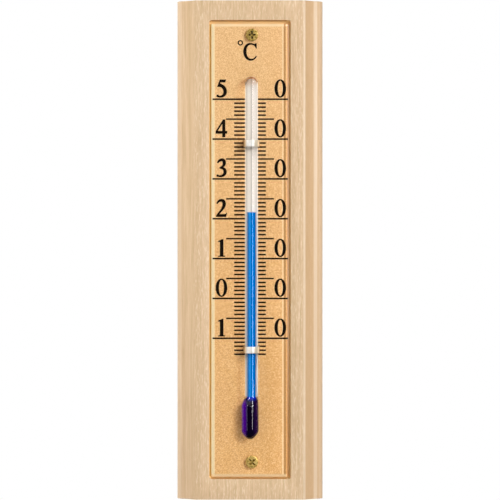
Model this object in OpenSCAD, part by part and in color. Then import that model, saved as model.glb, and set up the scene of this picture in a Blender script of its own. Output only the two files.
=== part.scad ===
/* [Backboard] */
// Height of the wooden backboard
board_h = 154; // [148:1:200]
// Width of the backboard
board_w = 45; // [40:0.5:70]
// Thickness of the backboard
board_t = 11; // [10:0.5:18]
// Width of the moulding along each long edge
mould_w = 5.6; // [5:0.1:7]
// Drop of the moulding from the front face to the straight side
mould_drop = 5.2; // [4:0.1:7]
// Width of the moulding's hollow, from the front face outward
cove_w = 3.6; // [2.5:0.1:4.5]
// Drop of the moulding where its hollow ends and its nose begins
cove_drop = 2.9; // [2:0.1:3.5]
// How far the hollow's arc sinks under its chord
cove_sag = 0.3; // [0.1:0.05:0.5]
// How far the nose's arc rises over its chord
nose_sag = 0.45; // [0.1:0.05:0.6]

/* [Recess for the scale] */
// Height of the board above the recess
board_above = 6.1; // [4:0.1:10]
// Height of the board below the recess
board_below = 6.4; // [4:0.1:10]
// Depth of the recess
recess_depth = 1.7; // [1:0.1:3]
// Radius of the recess's corners
recess_corner_r = 0.8; // [0.5:0.1:3]
// Gap between the recess and each long edge of the scale plate
side_gap = 0.55; // [0.2:0.05:1.5]
// Gap between the recess and each end of the scale plate, when it sits in the middle
end_gap = 0.75; // [0.4:0.05:1.5]
// How far the plate sits below the middle of the recess
plate_slip = 0.25; // [0:0.05:0.3]

/* [Hanging hole] */
// Distance from the board's top edge to the middle of the hanging hole
hang_drop = 20; // [15:0.5:30]
// Diameter of the hanging hole
hang_d = 6; // [4:0.5:8]
// Depth of the hanging hole
hang_depth = 6; // [4:0.5:7]

/* [Scale plate] */
// Height of the plate above the highest mark
plate_above = 23.35; // [22:0.05:30]
// Height of the plate below the bulb's tip
plate_below = 11.95; // [10:0.05:20]
// Width of the scale plate
plate_w = 24; // [23.5:0.1:28]
// Thickness of the scale plate, over its rolled edges
plate_t = 0.8; // [0.6:0.1:1.5]
// Width of the plate's rolled edge
roll_w = 1.3; // [0.6:0.1:1.6]
// Drop of the plate's rolled edge
roll_drop = 0.55; // [0.3:0.05:0.55]

/* [Printed scale] */
// Thickness of the ink
ink_t = 0.03; // [0.02:0.01:0.05]
// Degrees at the highest mark
top_degrees = 50; // [30:10:50]
// Degrees at the lowest mark
low_degrees = -14; // [-19:1:-11]
// Degrees from one numbered mark to the next
label_degrees = 10; // [10:10:10]
// Length of one degree on the scale
degree_len = 1.23; // [1:0.01:1.6]
// Height of a degree mark's line
degree_line_h = 0.5; // [0.2:0.02:0.6]
// Height of a five-degree mark's line
five_line_h = 0.46; // [0.2:0.02:0.6]
// Height of a ten-degree mark's line
ten_line_h = 0.5; // [0.2:0.02:0.6]
// Reach of the degree marks from the plate's middle
degree_reach = 4.9; // [4:0.1:5.5]
// Reach of the five-degree marks from the plate's middle
five_reach = 7.4; // [6:0.1:8]
// Distance from the plate's side to the end of a ten-degree mark
ten_inset = 0.25; // [0.1:0.05:1]
// Height of the numerals
digit_h = 5.5; // [4.5:0.1:6]
// Distance from a ten-degree line up to its numerals
digit_lift = 0.55; // [0.4:0.05:1]
// Distance from the plate's left side to the middle of the left numerals
left_inset = 3.2; // [3.1:0.05:3.6]
// Distance from the plate's right side to the middle of the right numerals
right_inset = 2.65; // [2.5:0.05:3]
// Distance from the plate's top edge to the top of the unit letter
unit_drop = 5.95; // [5.6:0.05:9]
// Height of the unit letter
unit_h = 5.3; // [4:0.1:7]
// Outer diameter of the degree ring beside the unit letter
ring_d = 1.7; // [1.2:0.1:2.2]
// Width of the degree ring's line
ring_line = 0.4; // [0.2:0.02:0.5]

/* [Glass tube] */
// Length of the stem above the highest mark
stem_above = 6.85; // [6:0.05:10]
// Outer diameter of the stem
stem_d = 4.05; // [3.6:0.05:4.6]
// Diameter of the stem's bore
bore_d = 1.7; // [1.2:0.1:1.8]
// Glass above the bore's closed end
crown_t = 1.6; // [1.2:0.1:3]
// How far the tube's middle lies right of the plate's middle
tube_shift = 0.45; // [0:0.05:0.6]
// Outer diameter of the bulb
bulb_d = 5.2; // [4.9:0.1:6]
// Length of the bulb, from its tip to the end of its shoulder
bulb_len = 12.9; // [11:0.1:15]
// Length of the bulb's shoulder
shoulder_len = 2.6; // [2:0.1:4]
// Length of the bulb's tapered tip
tip_len = 2.4; // [1.8:0.1:2.8]
// How far the bulb's middle lies left of the stem's middle
bulb_shift = 0.4; // [0:0.05:0.4]
// Thickness of the bulb's wall
bulb_wall = 0.45; // [0.35:0.05:0.6]
// Distance from the end of the bulb's shoulder down to the top of its cavity
cavity_drop = 0.25; // [0.2:0.05:1.3]
// Gap between the plate and the glass that rests on it
seat_gap = 0.02; // [0.01:0.01:0.1]

/* [Enamel strip] */
// Thickness of the white strip behind the bore
enamel_t = 0.2; // [0.1:0.02:0.26]
// Distance from the stem's middle to the front of the white strip
enamel_r = 1.28; // [1.24:0.02:1.36]
// Angle that the white strip takes round the bore
enamel_angle = 86; // [60:2:140]
// Distance from the bore's closed end down to the white strip
enamel_drop = 0.6; // [0.05:0.05:2]
// Gap round the white strip
enamel_gap = 0.02; // [0.01:0.01:0.04]

/* [Liquid] */
// Degrees that the column shows
reading_degrees = 21.6; // [-13:0.1:29]
// Gap between the liquid and the glass
liquid_gap = 0.03; // [0.02:0.01:0.05]
// Length of the column's moving top
top_len = 3; // [2:0.5:6]
// Depth of the hollow in the column's top
meniscus = 0.2; // [0.1:0.05:0.4]

/* [Clips] */
// Distance from the tube's top down to the middle of the upper clip
upper_clip_drop = 20.6; // [10:0.1:30]
// Distance from the bulb up to the middle of the lower clip
lower_clip_rise = 14.5; // [8:0.1:20]
// Height of a clip's strap
strap_h = 2; // [1.4:0.1:3]
// Thickness of a clip's strap
strap_t = 0.3; // [0.2:0.05:0.4]
// Gap between a clip and the stem
strap_gap = 0.05; // [0.02:0.01:0.1]
// Length of each tab folded out behind the plate
tab_len = 1.2; // [0.8:0.1:2]
// Gap round a clip's leg in its slot
slot_gap = 0.1; // [0.05:0.05:0.2]
// Free space round the folded tabs in the board
relief_gap = 0.4; // [0.3:0.05:0.8]

/* [Screws] */
// Distance from the plate's top edge to the upper screw
upper_screw_drop = 3.55; // [3.2:0.05:3.7]
// Distance from the plate's bottom edge to the lower screw
lower_screw_rise = 4.7; // [4:0.05:6]
// How far the screws lie right of the plate's middle
screw_shift = 0.6; // [0:0.05:0.8]
// Diameter of a screw's head
head_d = 3.9; // [3.6:0.1:4.2]
// Height of a screw's head
head_h = 1.2; // [1.1:0.05:1.6]
// Height of the straight rim under the head's dome
head_rim = 0.35; // [0.2:0.05:0.5]
// Length of a screw under its head
screw_len = 8; // [6:0.5:8.5]
// Diameter over a screw's thread
thread_d = 2; // [1.6:0.1:2.4]
// Diameter of a screw's core
core_d = 1.45; // [1.2:0.05:1.5]
// Pitch of a screw's thread
thread_pitch = 0.9; // [0.7:0.05:1.2]
// Gap between a screw and its hole in the board
screw_gap = 0.02; // [0.01:0.01:0.05]
// Gap between a screw and its hole in the plate
plate_hole_gap = 0.15; // [0.05:0.05:0.3]
// Length of the cross recess, from tip to tip
cross_len = 2.5; // [1.8:0.1:2.8]
// Width of the cross recess's arms
cross_w = 0.55; // [0.3:0.05:0.6]
// Depth of the cross recess
cross_depth = 0.75; // [0.5:0.05:0.8]
// Turn of the lower screw's cross
lower_turn = 42; // [0:1:89]

/* [Hidden] */
$fn = 64;

wood = [0.87, 0.753, 0.604];
gold = [0.93, 0.75, 0.52];
ink = [0.06, 0.03, 0.02];
glass = [0.9, 0.93, 0.95, 0.35];
white = [0.92, 0.9, 0.88];
blue = [0.03, 0.42, 0.78];
indigo = [0.08, 0.02, 0.3];
silver = [0.85, 0.85, 0.86];
brass = [0.7, 0.62, 0.33];

// Heights, from the middle of the hanging hole
board_top = hang_drop;
recess_top = board_top - board_above;
plate_top = recess_top - end_gap - plate_slip;
top_mark_z = plate_top - plate_above;
tube_top = top_mark_z + stem_above;
board_bottom = board_top - board_h;
recess_bottom = board_bottom + board_below;
plate_bottom = recess_bottom + end_gap - plate_slip;
plate_h = plate_top - plate_bottom;
tube_tip = plate_bottom + plate_below;
neck_z = tube_tip + bulb_len;
recess_w = plate_w + 2 * side_gap;
upper_clip_z = tube_top - upper_clip_drop;
lower_clip_z = neck_z + lower_clip_rise;
upper_screw_z = plate_top - upper_screw_drop;
lower_screw_z = plate_bottom + lower_screw_rise;
reading_z = mark_z(reading_degrees);
labels = [top_degrees:-label_degrees:low_degrees];

// Depths, from the wall forward, which is along -Y
recess_floor_y = -(board_t - recess_depth);
plate_front_y = recess_floor_y - plate_t;
stem_r = stem_d / 2;
bulb_r = bulb_d / 2;
bore_r = bore_d / 2;
stem_y = plate_front_y - seat_gap - stem_r;
bulb_x = tube_shift - bulb_shift;
bulb_y = plate_front_y - seat_gap - bulb_r;

// The cavity in the bulb and the bore's ends
cavity_r = bulb_r - bulb_wall;
cavity_top = neck_z - cavity_drop;
bore_top = tube_top - crown_t;
thread_bottom = cavity_top - liquid_gap;
enamel_top = bore_top - enamel_drop;
enamel_bottom = neck_z + enamel_gap;

strap_in = stem_r + strap_gap;
strap_out = strap_in + strap_t;
shank_r = thread_d / 2;
cut = 0.5;

// Height of the mark for temperature t
function mark_z(t) = top_mark_z - (top_degrees - t) * degree_len;

// Arc from p to q that bulges by sag to the left of the way, without its first point
function arc(p, q, sag, n = 10) =
    let (half = norm(q - p) / 2)
    let (r = (half * half + sag * sag) / (2 * abs(sag)))
    let (side = [p.y - q.y, q.x - p.x] / (2 * half))
    let (centre = (p + q) / 2 + side * (sag - sign(sag) * r))
    let (a = atan2(p.y - centre.y, p.x - centre.x))
    let (b = atan2(q.y - centre.y, q.x - centre.x))
    let (turn = (b - a + 540) % 360 - 180)
    [for (i = [1:n]) centre + r * [cos(a + turn * i / n), sin(a + turn * i / n)]];

// Points mirrored to the other side of the middle, in reverse
function mirrored(points) = [for (i = [len(points) - 1:-1:0]) [-points[i].x, points[i].y]];

// Point, direction and width at share t of a pen stroke
function curve(p, t) = pow(1 - t, 3) * p[0] + 3 * pow(1 - t, 2) * t * p[1]
    + 3 * (1 - t) * t * t * p[2] + pow(t, 3) * p[3];
function heading(p, t) = pow(1 - t, 2) * (p[1] - p[0]) + 2 * (1 - t) * t * (p[2] - p[1])
    + t * t * (p[3] - p[2]);
function width(w, t) = pow(1 - t, 2) * w[0] + 2 * (1 - t) * t * w[1] + t * t * w[2];
function edge(p, w, t, side) =
    let (d = heading(p, t))
    curve(p, t) + side * width(w, t) / 2 * [-d.y, d.x] / norm(d);

// Pen stroke along the curve p that swells from width to width
module stroke(p, w, n = 14) {
    polygon([
        for (i = [0:n]) edge(p, w, i / n, 1),
        for (i = [n:-1:0]) edge(p, w, i / n, -1)
    ]);
}

// Stretches along the board, upward from height z
module along_z(z, h) {
    translate([0, 0, z])
        linear_extrude(h)
            children();
}

// Straight round hole or pin, from y towards the wall
module along_y(x, y, z, r, length) {
    translate([x, y, z])
        rotate([-90, 0, 0])
            cylinder(r = r, h = length);
}

// Box between two corners
module box(low, high) {
    translate(low)
        cube(high - low);
}

module board_section() {
    half = board_w / 2;
    knee = [half - mould_w, -board_t];
    fold = [half - mould_w + cove_w, cove_drop - board_t];
    side = [half, mould_drop - board_t];
    right = concat([[half, 0], side], arc(side, fold, nose_sag), arc(fold, knee, -cove_sag));
    polygon(concat(right, mirrored(right)));
}

module recess_pocket() {
    x = recess_w / 2 - recess_corner_r;
    high = recess_top - recess_corner_r;
    low = recess_bottom + recess_corner_r;
    front = -board_t - cut;
    r = recess_corner_r;
    box([-x - r, front, low], [x + r, recess_floor_y, high]);
    box([-x, front, low - r], [x, recess_floor_y, high + r]);
    for (side = [-1, 1], z = [low, high])
        along_y(side * x, front, z, r, recess_floor_y - front);
}

// Shallow pocket that clears a clip's folded tabs
module tab_relief(z) {
    x = strap_out + tab_len + relief_gap;
    high = strap_h / 2 + relief_gap;
    box([tube_shift - x, recess_floor_y - cut, z - high],
        [tube_shift + x, recess_floor_y + strap_t + relief_gap, z + high]);
}

module screw_hole(z) {
    length = screw_len - plate_t + relief_gap;
    along_y(screw_shift, recess_floor_y - cut, z, shank_r + screw_gap, length + cut);
}

module backboard() {
    color(wood)
        difference() {
            along_z(board_bottom, board_h)
                board_section();
            recess_pocket();
            tab_relief(upper_clip_z);
            tab_relief(lower_clip_z);
            screw_hole(upper_screw_z);
            screw_hole(lower_screw_z);
            along_y(0, -hang_depth, 0, hang_d / 2, hang_depth + cut);
        }
}

// Outline of the plate across one pair of rolled edges, flat side towards the wall
module rolled_section(w) {
    half = w / 2;
    rim = [half, roll_drop - plate_t];
    flat = [half - roll_w, -plate_t];
    sag = roll_drop * 0.4;
    right = concat([[half, 0], rim], arc(rim, flat, sag, 8));
    polygon(concat(right, mirrored(right)));
}

// Plate with rolled edges all round, its back on the recess's floor
module plate_blank() {
    middle = plate_top - plate_h / 2;
    translate([0, recess_floor_y, middle])
        intersection() {
            translate([0, 0, -plate_h / 2])
                linear_extrude(plate_h)
                    rolled_section(plate_w);
            translate([plate_w / 2, 0, 0])
                rotate([0, -90, 0])
                    linear_extrude(plate_w)
                        rolled_section(plate_h);
        }
}

// Four slots that take the legs of both clips
module clip_slots() {
    front = plate_front_y - cut;
    back = recess_floor_y + cut;
    high = strap_h / 2 + slot_gap;
    for (z = [upper_clip_z, lower_clip_z], side = [-1, 1]) {
        x = tube_shift + side * (strap_in + strap_out) / 2;
        wide = strap_t / 2 + slot_gap;
        box([x - wide, front, z - high], [x + wide, back, z + high]);
    }
}

module scale_plate() {
    color(gold)
        difference() {
            plate_blank();
            clip_slots();
            for (z = [upper_screw_z, lower_screw_z])
                along_y(screw_shift, plate_front_y - cut, z, shank_r + plate_hole_gap, plate_t + 2 * cut);
        }
}

// Two short lines at height z, from under the tube out to both sides
module mark(z, reach, line_h, back) {
    inner = stem_r * 0.7;
    for (side = [-1, 1]) {
        low = side < 0 ? -reach : tube_shift + inner;
        high = side < 0 ? tube_shift - inner : reach;
        box([low, plate_front_y - ink_t, z - line_h / 2], [high, back, z + line_h / 2]);
    }
}

module ten_degree_lines() {
    color(ink)
        difference() {
            intersection() {
                translate([0, -ink_t, 0])
                    plate_blank();
                union()
                    for (t = labels)
                        mark(mark_z(t), plate_w / 2 - ten_inset, ten_line_h, recess_floor_y);
            }
            plate_blank();
            clip_slots();
        }
}

module five_degree_lines() {
    color(ink)
        difference() {
            union()
                for (t = [top_degrees - label_degrees / 2:-label_degrees:low_degrees])
                    mark(mark_z(t), five_reach, five_line_h, plate_front_y);
            clip_slots();
        }
}

module degree_lines() {
    color(ink)
        difference() {
            union()
                for (t = [top_degrees:-1:low_degrees])
                    if (t % (label_degrees / 2) != 0)
                        mark(mark_z(t), degree_reach, degree_line_h, plate_front_y);
            clip_slots();
        }
}

// The numerals and the letter are drawn 100 high, with their middle at x = 0
function oval(rx, ry, n = 40) = [for (i = [0:n - 1]) [rx * cos(360 * i / n), ry * sin(360 * i / n)]];

module digit_0() {
    translate([0, 50])
        difference() {
            polygon(oval(33, 51.5));
            polygon(oval(14, 43.5));
        }
}

module digit_1() {
    polygon([[-19, 0], [20, 0], [20, 5.5], [11, 8], [11, 100], [5, 100], [-19, 89],
        [-17, 82], [-9, 84.5], [-9, 8], [-19, 5.5]]);
}

module digit_2() {
    stroke([[-25, 74], [-18, 98], [18, 104], [15, 69]], [8, 19, 20]);
    stroke([[15, 71], [14, 50], [-5, 33], [-25, 8]], [20, 13, 10]);
    polygon([[-31, 0], [25, 0], [32, 23], [27.5, 23.5], [22, 17.5], [15, 16], [-21, 16], [-31, 7]]);
}

module digit_3() {
    stroke([[-22, 79], [-15, 98], [17, 109], [16, 76]], [8, 20, 19]);
    stroke([[16, 78], [15, 63], [3, 56], [-11, 51]], [19, 12, 8]);
    stroke([[-11, 51.5], [9, 54], [22, 44], [20, 27]], [8, 18, 20]);
    stroke([[20, 29], [18, 6], [-6, 1], [-22, 8]], [20, 13, 9]);
    translate([-21.5, 8.5])
        circle(7, $fn = 24);
}

module digit_4() {
    difference() {
        polygon([[-33, 20], [32, 20], [32, 35.5], [21.5, 35.5], [21.5, 100], [9, 100], [-33, 34]]);
        polygon([[-20.5, 35.5], [4, 35.5], [4, 75]]);
    }
    polygon([[4, 0], [21.5, 0], [21.5, 30], [4, 30]]);
}

module digit_5() {
    polygon([[-9, 101], [21, 100], [26.5, 102], [21, 84], [-5, 84], [-7, 79], [2, 76], [2, 58], [-25, 59]]);
    stroke([[-9, 68], [7, 65], [22, 52], [20.5, 27]], [18, 20, 20]);
    stroke([[20.5, 29], [18, 6], [-6, 0], [-23, 7]], [20, 13, 9]);
    translate([-21.5, 8.5])
        circle(7.5, $fn = 24);
}

module letter_c() {
    stroke([[34, 75], [24, 102], [-30, 106], [-30, 50]], [6, 10, 20], 20);
    stroke([[-30, 51], [-30, -6], [22, -12], [37, 24]], [20, 13, 7], 20);
    polygon([[34, 98], [39, 98], [40, 67], [35, 67], [26, 84], [20, 91]]);
}

module digit(n) {
    if (n == 0) digit_0();
    if (n == 1) digit_1();
    if (n == 2) digit_2();
    if (n == 3) digit_3();
    if (n == 4) digit_4();
    if (n == 5) digit_5();
}

// Lays a flat shape that is 100 high on the plate's front, its foot at x and z
module printed(x, z, h) {
    translate([x, plate_front_y, z])
        rotate([90, 0, 0])
            linear_extrude(ink_t)
                scale(h / 100)
                    children();
}

module left_numerals() {
    color(ink)
        for (t = labels)
            printed(left_inset - plate_w / 2, mark_z(t) + digit_lift, digit_h)
                digit(abs(t) / label_degrees);
}

module right_numerals() {
    color(ink)
        for (t = labels)
            printed(plate_w / 2 - right_inset, mark_z(t) + digit_lift, digit_h)
                digit(0);
}

module unit_symbol() {
    ring_x = -unit_h * 0.4 - ring_d / 2;
    color(ink) {
        printed(0, plate_top - unit_drop - unit_h, unit_h)
            letter_c();
        translate([ring_x, plate_front_y, plate_top - unit_drop])
            rotate([90, 0, 0])
                difference() {
                    cylinder(d = ring_d, h = ink_t);
                    translate([0, 0, -cut])
                        cylinder(d = ring_d - 2 * ring_line, h = ink_t + 2 * cut);
                }
    }
}

// Round outline of the bulb or of its cavity, upward from its tip
module bulb_form(r, tip_z, top_z, top_r) {
    blunt = r * 0.2;
    side_z = tip_z + tip_len;
    shoulder_z = neck_z - shoulder_len;
    tip = arc([blunt, tip_z], [r, side_z], -r * 0.08, 8);
    shoulder = arc([r, shoulder_z], [top_r, top_z], -(r - top_r) * 0.15, 8);
    rotate_extrude()
        polygon(concat([[0, tip_z], [blunt, tip_z]], tip, [[r, shoulder_z]], shoulder, [[0, top_z]]));
}

// Band of a ring behind the bore, wide by angle
module back_band(inner, outer, angle, low, high) {
    translate([tube_shift, stem_y, low])
        rotate([0, 0, 90 - angle / 2])
            rotate_extrude(angle = angle)
                translate([inner, 0])
                    square([outer - inner, high - low]);
}

module stem_form() {
    crown = arc([stem_r, tube_top - stem_r * 0.8], [0, tube_top], -stem_r * 0.26, 12);
    translate([tube_shift, stem_y, 0])
        rotate_extrude()
            polygon(concat([[0, neck_z - shoulder_len], [stem_r, neck_z - shoulder_len]], crown));
}

module cavity_form(gap) {
    translate([bulb_x, bulb_y, 0])
        bulb_form(cavity_r - gap, tube_tip + bulb_wall + gap, cavity_top - gap, bore_r + bulb_shift);
}

module glass_tube() {
    gap_angle = 2 * enamel_gap / enamel_r * 180 / PI;
    color(glass)
        difference() {
            union() {
                stem_form();
                translate([bulb_x, bulb_y, 0])
                    bulb_form(bulb_r, tube_tip, neck_z, stem_r * 0.75);
            }
            cavity_form(0);
            translate([tube_shift, stem_y, cavity_top - cut])
                cylinder(r = bore_r, h = bore_top - cavity_top + cut);
            back_band(enamel_r - enamel_gap, enamel_r + enamel_t + enamel_gap, enamel_angle + gap_angle,
                enamel_bottom - enamel_gap, enamel_top + enamel_gap);
        }
}

module enamel_strip() {
    color(white)
        back_band(enamel_r, enamel_r + enamel_t, enamel_angle, enamel_bottom, enamel_top);
}

module bulb_liquid() {
    color(indigo)
        cavity_form(liquid_gap);
}

module liquid_thread() {
    color(blue)
        translate([tube_shift, stem_y, thread_bottom])
            cylinder(r = bore_r - liquid_gap, h = reading_z - top_len - thread_bottom);
}

module column_top() {
    r = bore_r - liquid_gap;
    ball_r = (r * r + meniscus * meniscus) / (2 * meniscus);
    color(blue)
        translate([tube_shift, stem_y, reading_z])
            difference() {
                translate([0, 0, -top_len])
                    cylinder(r = r, h = top_len);
                translate([0, 0, ball_r - meniscus])
                    sphere(ball_r);
            }
}

// Strap over the stem, with two legs through the plate and a tab folded out behind it
module clip(z) {
    color(silver)
        translate([tube_shift, 0, z - strap_h / 2]) {
            difference() {
                translate([0, stem_y, 0])
                    cylinder(r = strap_out, h = strap_h);
                translate([0, stem_y, -cut])
                    cylinder(r = strap_in, h = strap_h + 2 * cut);
                box([-strap_out - cut, stem_y, -cut], [strap_out + cut, 0, strap_h + cut]);
            }
            for (side = [-1, 1]) {
                inner = side < 0 ? -strap_out : strap_in;
                tab = side < 0 ? -strap_out - tab_len : strap_in;
                box([inner, stem_y, 0], [inner + strap_t, recess_floor_y + strap_t, strap_h]);
                box([tab, recess_floor_y, 0], [tab + strap_t + tab_len, recess_floor_y + strap_t, strap_h]);
            }
        }
}

module upper_clip() {
    clip(upper_clip_z);
}

module lower_clip() {
    clip(lower_clip_z);
}

// Screw with its head's seat at height 0, its dome upward and its point downward
module screw_form() {
    r = head_d / 2;
    dome = arc([r, head_rim], [0, head_h], -(head_h - head_rim) * 0.35, 12);
    point = 1.4;
    neck = plate_t + 0.3;
    turns = floor((screw_len - neck - point) / thread_pitch);
    ridges = [
        for (i = [turns - 1:-1:0], p = [[core_d / 2, -0.75], [shank_r, -0.5], [core_d / 2, -0.25]])
            [p.x, -neck + p.y * thread_pitch - i * thread_pitch]
    ];
    rotate_extrude()
        polygon(concat([[0, -screw_len], [core_d / 2, point - screw_len]], ridges,
            [[core_d / 2, -neck], [shank_r, -neck + 0.2], [shank_r, 0], [r, 0], [r, head_rim]], dome));
}

module screw(z, turn) {
    color(brass)
        translate([screw_shift, plate_front_y, z])
            rotate([90, turn, 0])
                difference() {
                    screw_form();
                    for (a = [0, 90])
                        rotate(a)
                            translate([-cross_len / 2, -cross_w / 2, head_h - cross_depth])
                                cube([cross_len, cross_w, cross_depth + cut]);
                    translate([0, 0, head_h - cross_depth])
                        cylinder(d = cross_w * 2, h = cross_depth + cut);
                }
}

module upper_screw() {
    screw(upper_screw_z, 0);
}

module lower_screw() {
    screw(lower_screw_z, lower_turn);
}

backboard();
scale_plate();
ten_degree_lines();
five_degree_lines();
degree_lines();
left_numerals();
right_numerals();
unit_symbol();
glass_tube();
enamel_strip();
bulb_liquid();
liquid_thread();
column_top();
upper_clip();
lower_clip();
upper_screw();
lower_screw();
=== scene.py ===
import math

import bmesh
import bpy
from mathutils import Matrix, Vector


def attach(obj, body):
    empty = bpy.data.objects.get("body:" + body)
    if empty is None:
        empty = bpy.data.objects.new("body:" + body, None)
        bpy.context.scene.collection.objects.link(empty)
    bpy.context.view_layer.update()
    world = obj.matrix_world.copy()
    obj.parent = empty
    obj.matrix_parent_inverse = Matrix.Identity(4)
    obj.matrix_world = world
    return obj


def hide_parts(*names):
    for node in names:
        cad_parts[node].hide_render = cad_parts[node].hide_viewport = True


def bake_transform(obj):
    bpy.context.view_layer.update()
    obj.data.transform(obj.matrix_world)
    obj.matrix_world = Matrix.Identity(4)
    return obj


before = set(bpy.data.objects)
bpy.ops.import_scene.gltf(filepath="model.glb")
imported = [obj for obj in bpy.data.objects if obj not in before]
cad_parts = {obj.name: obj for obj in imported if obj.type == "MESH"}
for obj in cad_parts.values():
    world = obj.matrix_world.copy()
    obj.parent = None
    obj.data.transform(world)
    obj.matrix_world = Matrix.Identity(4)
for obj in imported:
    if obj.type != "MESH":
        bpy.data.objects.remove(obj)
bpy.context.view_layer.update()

# Everything is in metres, X right, Y into the wall, Z up, from the mouth of the hanging hole
mm = 0.001

# Wooden backboard
board_low = (-22.5 * mm, -11 * mm, -134 * mm)
board_high = (22.5 * mm, 0, 20 * mm)
board_face = board_low[1]
knee = (16.9 * mm, board_face)
fold = (20.5 * mm, -8.1 * mm)
moulding_side = (board_high[0], -5.8 * mm)
lower_bow = 0.45 * mm
upper_bow = -0.3 * mm
board_ease = 0.16 * mm
recess_low = (-12.55 * mm, -12 * mm, -127.6 * mm)
recess_high = (12.55 * mm, -9.3 * mm, 13.9 * mm)
recess_corner_r = 0.8 * mm
recess_ease = 0.12 * mm
relief_half_w = 3.975 * mm
relief_half_h = 1.4 * mm
relief_floor = -8.6 * mm
pilot_r = 1.02 * mm
pilot_end = -1.7 * mm
hanging_r = 3 * mm
hanging_depth = 6 * mm

# Scale plate, its rolled edges and its holes
plate_half_w = 12 * mm
plate_bottom = -127.1 * mm
plate_top = 12.9 * mm
plate_back = recess_high[1]
plate_front = plate_back - 0.8 * mm
plate_rim = -9.75 * mm
plate_corner_r = 0.55 * mm
roll_w = 1.3 * mm
roll_bulge = 0.13 * mm
right_foot = 11.55 * mm
right_lean = 0.35 * mm
groove_start, groove_x, groove_end = 10.05 * mm, 10.35 * mm, 11 * mm
groove_depth = 0.07 * mm
screw_hole_r = 1.15 * mm
slot_half_w = 0.25 * mm
slot_half_h = 1.1 * mm
punch_back = -8.8 * mm
punch_front = -10.6 * mm

# Glass tube and what is in it
stem_x = 0.45 * mm
stem_y = -12.145 * mm
stem_r = 2.025 * mm
bulb_x = 0.05 * mm
bulb_y = -12.72 * mm
bulb_r = 2.6 * mm
glass_wall = 0.45 * mm
bore_r = 0.85 * mm
cavity_r = bulb_r - glass_wall
tube_top = -3.6 * mm
tube_tip = -115.15 * mm
neck_z = -102.25 * mm
shoulder_z = -104.85 * mm
cavity_top = -102.5 * mm
cavity_top_r = 0.95 * mm
bore_top = -5.2 * mm
enamel_r = 1.38 * mm
enamel_thickness = 0.2 * mm
enamel_low = -102.18 * mm
enamel_high = -4.95 * mm
reading_z = -45.38 * mm
top_bottom = reading_z - 3 * mm
thread_bottom = cavity_top - 0.03 * mm

# How far the liquid reaches into the glass, so that no gap shows
wetting = 0.01 * mm

# Radius of the last ring before a pole is closed
pole_r = 0.02 * mm

# Degrees of one step of the enamel about the stem's axis, and its steps to each side of its middle
enamel_step = 43 / 12
enamel_right = 12
enamel_left = 14

# Clips and screws
clip_heights = {"upper_clip": -24.2 * mm, "lower_clip": -87.75 * mm}
strap_thickness = 0.3 * mm
strap_in = stem_r + 0.05 * mm
strap_out = strap_in + strap_thickness
strap_w = 2 * mm
strap_bend = 0.08 * mm
tab_end = 3.575 * mm
screw_x = 0.6 * mm
upper_screw_z = plate_top - 3.55 * mm
lower_screw_z = plate_bottom + 4.7 * mm
head_r = 1.95 * mm
head_wall = 0.88 * mm
head_h = 1.2 * mm
core_r = 0.725 * mm
thread_r = 1 * mm
thread_pitch = 0.9 * mm
thread_turns = 6
cross_half_l = 1.55 * mm
cross_half_w = 0.34 * mm
cross_foot = 0.45 * mm

# Degrees from the upper screw's cross to the lower one's
lower_screw_turn = 42


# Small tools, each one step of modelling by hand

def arc_points(start, end, sag, count):
    """Points of an arc, without its first, that bulges by sag to the left of the way from start to end"""
    half = math.dist(start, end) / 2
    radius = (half * half + sag * sag) / (2 * abs(sag))
    side = ((start[1] - end[1]) / (2 * half), (end[0] - start[0]) / (2 * half))
    inward = sag - math.copysign(radius, sag)
    centre = [(a + b) / 2 + s * inward for a, b, s in zip(start, end, side)]
    first = math.atan2(start[1] - centre[1], start[0] - centre[0])
    last = math.atan2(end[1] - centre[1], end[0] - centre[0])
    turn = (last - first + 3 * math.pi) % (2 * math.pi) - math.pi
    angles = [first + turn * i / count for i in range(1, count + 1)]
    return [(centre[0] + radius * math.cos(a), centre[1] + radius * math.sin(a)) for a in angles]


def choose(piece):
    """Selects one piece alone and makes it the active one"""
    bpy.ops.object.select_all(action="DESELECT")
    piece.select_set(True)
    bpy.context.view_layer.objects.active = piece


def name_new_piece(name):
    """Names the primitive just added and puts its place into its mesh"""
    piece = bpy.context.object
    piece.name = piece.data.name = name
    bpy.ops.object.transform_apply(location=True, rotation=True, scale=True)
    return piece


def new_block(name, low, high):
    """Adds a block between two corners, to shape further"""
    bpy.ops.object.select_all(action="DESELECT")
    middle = [(a + b) / 2 for a, b in zip(low, high)]
    size = [b - a for a, b in zip(low, high)]
    bpy.ops.mesh.primitive_cube_add(size=1, location=middle, scale=size)
    return name_new_piece(name)


def new_disc(name, centre, radius, sides, along):
    """Adds a filled circle that faces along an axis, to grow further"""
    bpy.ops.object.select_all(action="DESELECT")
    tilt = (-math.pi / 2, 0, 0) if along == "Y" else (0, 0, 0)
    bpy.ops.mesh.primitive_circle_add(
        vertices=sides, radius=radius, fill_type="NGON", location=centre, rotation=tilt
    )
    return name_new_piece(name)


def edit(piece):
    """Opens one piece for editing, with all of it selected"""
    choose(piece)
    bpy.ops.object.mode_set(mode="EDIT")
    bpy.ops.mesh.select_mode(type="VERT")
    bpy.ops.mesh.select_all(action="SELECT")


def close():
    """Ends editing"""
    bpy.ops.object.mode_set(mode="OBJECT")


def pick(kind, test):
    """Selects only the vertices, edges or faces of the open piece that pass the test"""
    bpy.ops.mesh.select_mode(type=kind)
    bpy.ops.mesh.select_all(action="DESELECT")
    mesh = bpy.context.object.data
    shape = bmesh.from_edit_mesh(mesh)
    for element in {"VERT": shape.verts, "EDGE": shape.edges, "FACE": shape.faces}[kind]:
        if test(element):
            element.select_set(True)
    shape.select_flush_mode()
    bmesh.update_edit_mesh(mesh)


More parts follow.
